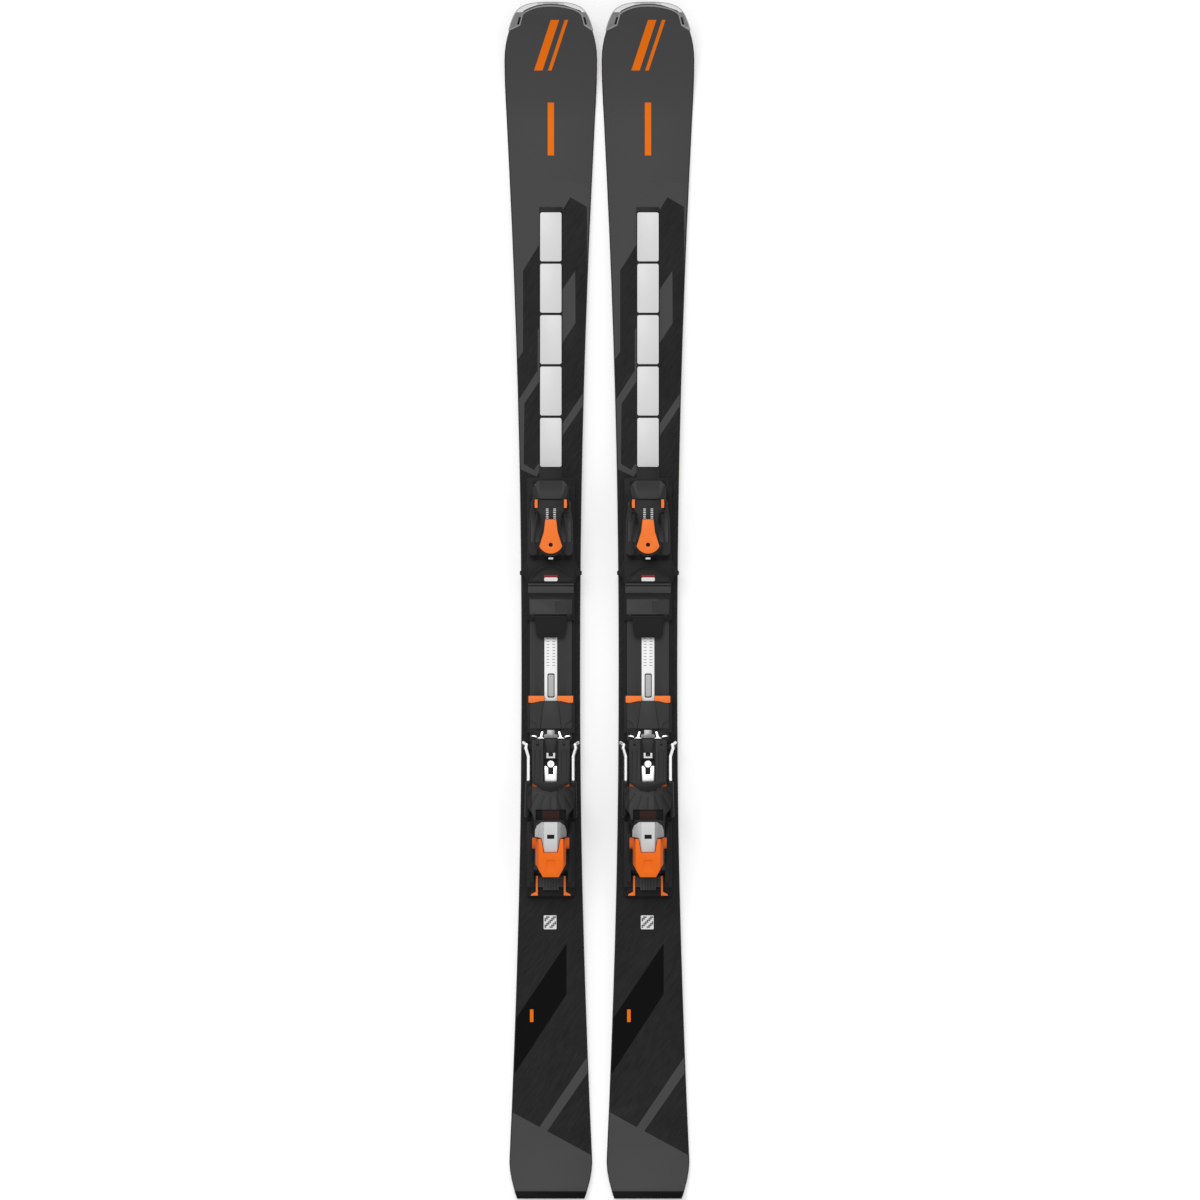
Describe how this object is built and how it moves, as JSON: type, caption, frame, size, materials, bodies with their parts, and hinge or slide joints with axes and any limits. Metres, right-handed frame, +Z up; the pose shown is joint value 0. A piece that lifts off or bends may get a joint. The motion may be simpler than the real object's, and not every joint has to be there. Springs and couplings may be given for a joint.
{
  "type": "alpine skis with bindings",
  "caption": "Pair of carving skis with damper plates and rail-mounted toe and heel bindings with ski brakes.",
  "frame": {"origin": "on the floor under the middle of the pair, between the two skis", "axes": "+Y towards the ski tips, +Z up, +X to the right-hand ski seen from the tails"},
  "size_m": [0.273, 1.72, 0.1015],
  "materials": {
    "base_plastic": "sintered base",
    "edge_steel": "ground",
    "core_wood": "raw",
    "sidewall_plastic": "satin",
    "topsheet_plastic": "satin with printed pattern",
    "guard_plastic": "satin",
    "pale_plastic": "satin",
    "dark_plastic": "moulded",
    "black_plastic": "moulded",
    "grey_plastic": "moulded",
    "orange_plastic": "moulded",
    "silver_paint": "silver",
    "bright_steel": "plated"
  },
  "bodies": {
    "skis": {"running_bases": "base_plastic", "steel_edges": "edge_steel", "wood_cores": "core_wood", "sidewalls": "sidewall_plastic", "topsheets": "topsheet_plastic", "end_guards": "guard_plastic", "damper_plates": "pale_plastic", "binding_rails": "dark_plastic", "rail_screws": "bright_steel", "steel_straps": "bright_steel"},
    "left_toe": {"left_toe_base": "dark_plastic", "left_toe_housing": "dark_plastic", "left_toe_cap": "grey_plastic", "left_toe_wedge": "orange_plastic", "left_toe_spring": "bright_steel", "left_toe_screw": "bright_steel", "left_wing_pins": "orange_plastic"},
    "left_wing_a_body": {"left_toe_wing_a": "dark_plastic"},
    "left_wing_b_body": {"left_toe_wing_b": "dark_plastic"},
    "left_slider_body": {"left_slider_plate": "grey_plastic"},
    "left_lock_body": {"left_lock_lever": "black_plastic"},
    "left_heel": {"left_heel_base": "dark_plastic", "left_heel_ramp": "grey_plastic"},
    "left_brake_arm_a": {"left_brake_wire_a": "bright_steel", "left_brake_tip_a": "black_plastic"},
    "left_brake_arm_b": {"left_brake_wire_b": "bright_steel", "left_brake_tip_b": "black_plastic"},
    "left_pedal_body": {"left_brake_pedal": "dark_plastic"},
    "left_heel_unit": {"left_heel_housing": "dark_plastic", "left_heel_jaw": "dark_plastic", "left_heel_top": "silver_paint", "left_heel_spring": "bright_steel", "left_heel_screw": "bright_steel"},
    "left_lever_body": {"left_heel_lever": "orange_plastic"},
    "left_latch_body": {"left_heel_latch": "orange_plastic"},
    "right_toe": {"right_toe_base": "dark_plastic", "right_toe_housing": "dark_plastic", "right_toe_cap": "grey_plastic", "right_toe_wedge": "orange_plastic", "right_toe_spring": "bright_steel", "right_toe_screw": "bright_steel", "right_wing_pins": "orange_plastic"},
    "right_wing_a_body": {"right_toe_wing_a": "dark_plastic"},
    "right_wing_b_body": {"right_toe_wing_b": "dark_plastic"},
    "right_slider_body": {"right_slider_plate": "grey_plastic"},
    "right_lock_body": {"right_lock_lever": "black_plastic"},
    "right_heel": {"right_heel_base": "dark_plastic", "right_heel_ramp": "grey_plastic"},
    "right_brake_arm_a": {"right_brake_wire_a": "bright_steel", "right_brake_tip_a": "black_plastic"},
    "right_brake_arm_b": {"right_brake_wire_b": "bright_steel", "right_brake_tip_b": "black_plastic"},
    "right_pedal_body": {"right_brake_pedal": "dark_plastic"},
    "right_heel_unit": {"right_heel_housing": "dark_plastic", "right_heel_jaw": "dark_plastic", "right_heel_top": "silver_paint", "right_heel_spring": "bright_steel", "right_heel_screw": "bright_steel"},
    "right_lever_body": {"right_heel_lever": "orange_plastic"},
    "right_latch_body": {"right_heel_latch": "orange_plastic"}
  },
  "joints": [
    {"name": "left_toe_slide", "type": "slide", "parent": "skis", "child": "left_toe", "axis": [0, 1, 0], "range_m": [-0.012, 0.01]},
    {"name": "left_wing_a", "type": "hinge", "parent": "left_toe", "child": "left_wing_a_body", "pos_m": [-0.09085, 0.139, 0.05], "axis": [0, 0, -1], "range_deg": [0, 28], "stiffness_Nm_per_rad": 15},
    {"name": "left_wing_b", "type": "hinge", "parent": "left_toe", "child": "left_wing_b_body", "pos_m": [-0.04885, 0.139, 0.05], "axis": [0, 0, 1], "range_deg": [0, 28], "stiffness_Nm_per_rad": 15},
    {"name": "left_glide", "type": "slide", "parent": "left_toe", "child": "left_slider_body", "axis": [1, 0, 0], "range_m": [-0.01, 0.01], "stiffness_N_per_m": 2000},
    {"name": "left_toe_lock", "type": "hinge", "parent": "left_toe", "child": "left_lock_body", "pos_m": [-0.06985, -0.0235, 0.0364], "axis": [-1, 0, 0], "range_deg": [0, 60]},
    {"name": "left_heel_slide", "type": "slide", "parent": "skis", "child": "left_heel", "axis": [0, 1, 0], "range_m": [0, 0.03]},
    {"name": "left_brake_a", "type": "hinge", "parent": "left_heel", "child": "left_brake_arm_a", "pos_m": [-0.10665, -0.2086, 0.0334], "axis": [0.3621, -0.8039, -0.4719], "range_deg": [0, 98]},
    {"name": "left_brake_b", "type": "hinge", "parent": "left_heel", "child": "left_brake_arm_b", "pos_m": [-0.03305, -0.2086, 0.0334], "axis": [0.3621, 0.8039, 0.4719], "range_deg": [0, 98]},
    {"name": "left_pedal", "type": "hinge", "parent": "left_heel", "child": "left_pedal_body", "pos_m": [-0.06985, -0.203, 0.038], "axis": [-1, 0, 0], "range_deg": [0, 18]},
    {"name": "left_heel_open", "type": "hinge", "parent": "left_heel", "child": "left_heel_unit", "pos_m": [-0.06985, -0.348, 0.05], "axis": [1, 0, 0], "range_deg": [0, 38]},
    {"name": "left_heel_lever_turn", "type": "hinge", "parent": "left_heel_unit", "child": "left_lever_body", "pos_m": [-0.06985, -0.348, 0.0865], "axis": [1, 0, 0], "range_deg": [0, 11.5]},
    {"name": "left_latch", "type": "hinge", "parent": "left_heel", "child": "left_latch_body", "pos_m": [-0.06985, -0.395, 0.0364], "axis": [-1, 0, 0], "range_deg": [0, 12], "stiffness_Nm_per_rad": 0.5},
    {"name": "right_toe_slide", "type": "slide", "parent": "skis", "child": "right_toe", "axis": [0, 1, 0], "range_m": [-0.012, 0.01]},
    {"name": "right_wing_a", "type": "hinge", "parent": "right_toe", "child": "right_wing_a_body", "pos_m": [0.04885, 0.139, 0.05], "axis": [0, 0, -1], "range_deg": [0, 28], "stiffness_Nm_per_rad": 15},
    {"name": "right_wing_b", "type": "hinge", "parent": "right_toe", "child": "right_wing_b_body", "pos_m": [0.09085, 0.139, 0.05], "axis": [0, 0, 1], "range_deg": [0, 28], "stiffness_Nm_per_rad": 15},
    {"name": "right_glide", "type": "slide", "parent": "right_toe", "child": "right_slider_body", "axis": [1, 0, 0], "range_m": [-0.01, 0.01], "stiffness_N_per_m": 2000},
    {"name": "right_toe_lock", "type": "hinge", "parent": "right_toe", "child": "right_lock_body", "pos_m": [0.06985, -0.0235, 0.0364], "axis": [-1, 0, 0], "range_deg": [0, 60]},
    {"name": "right_heel_slide", "type": "slide", "parent": "skis", "child": "right_heel", "axis": [0, 1, 0], "range_m": [0, 0.03]},
    {"name": "right_brake_a", "type": "hinge", "parent": "right_heel", "child": "right_brake_arm_a", "pos_m": [0.03305, -0.2086, 0.0334], "axis": [0.3621, -0.8039, -0.4719], "range_deg": [0, 98]},
    {"name": "right_brake_b", "type": "hinge", "parent": "right_heel", "child": "right_brake_arm_b", "pos_m": [0.10665, -0.2086, 0.0334], "axis": [0.3621, 0.8039, 0.4719], "range_deg": [0, 98]},
    {"name": "right_pedal", "type": "hinge", "parent": "right_heel", "child": "right_pedal_body", "pos_m": [0.06985, -0.203, 0.038], "axis": [-1, 0, 0], "range_deg": [0, 18]},
    {"name": "right_heel_open", "type": "hinge", "parent": "right_heel", "child": "right_heel_unit", "pos_m": [0.06985, -0.348, 0.05], "axis": [1, 0, 0], "range_deg": [0, 38]},
    {"name": "right_heel_lever_turn", "type": "hinge", "parent": "right_heel_unit", "child": "right_lever_body", "pos_m": [0.06985, -0.348, 0.0865], "axis": [1, 0, 0], "range_deg": [0, 11.5]},
    {"name": "right_latch", "type": "hinge", "parent": "right_heel", "child": "right_latch_body", "pos_m": [0.06985, -0.395, 0.0364], "axis": [-1, 0, 0], "range_deg": [0, 12], "stiffness_Nm_per_rad": 0.5}
  ],
  "couplings": [
    {"joint": "left_brake_b", "follows": "left_brake_a", "ratio": 1},
    {"joint": "left_pedal", "follows": "left_brake_a", "ratio": 0.18},
    {"joint": "left_heel_lever_turn", "follows": "left_heel_open", "ratio": 0.3},
    {"joint": "right_brake_b", "follows": "right_brake_a", "ratio": 1},
    {"joint": "right_pedal", "follows": "right_brake_a", "ratio": 0.18},
    {"joint": "right_heel_lever_turn", "follows": "right_heel_open", "ratio": 0.3}
  ]
}
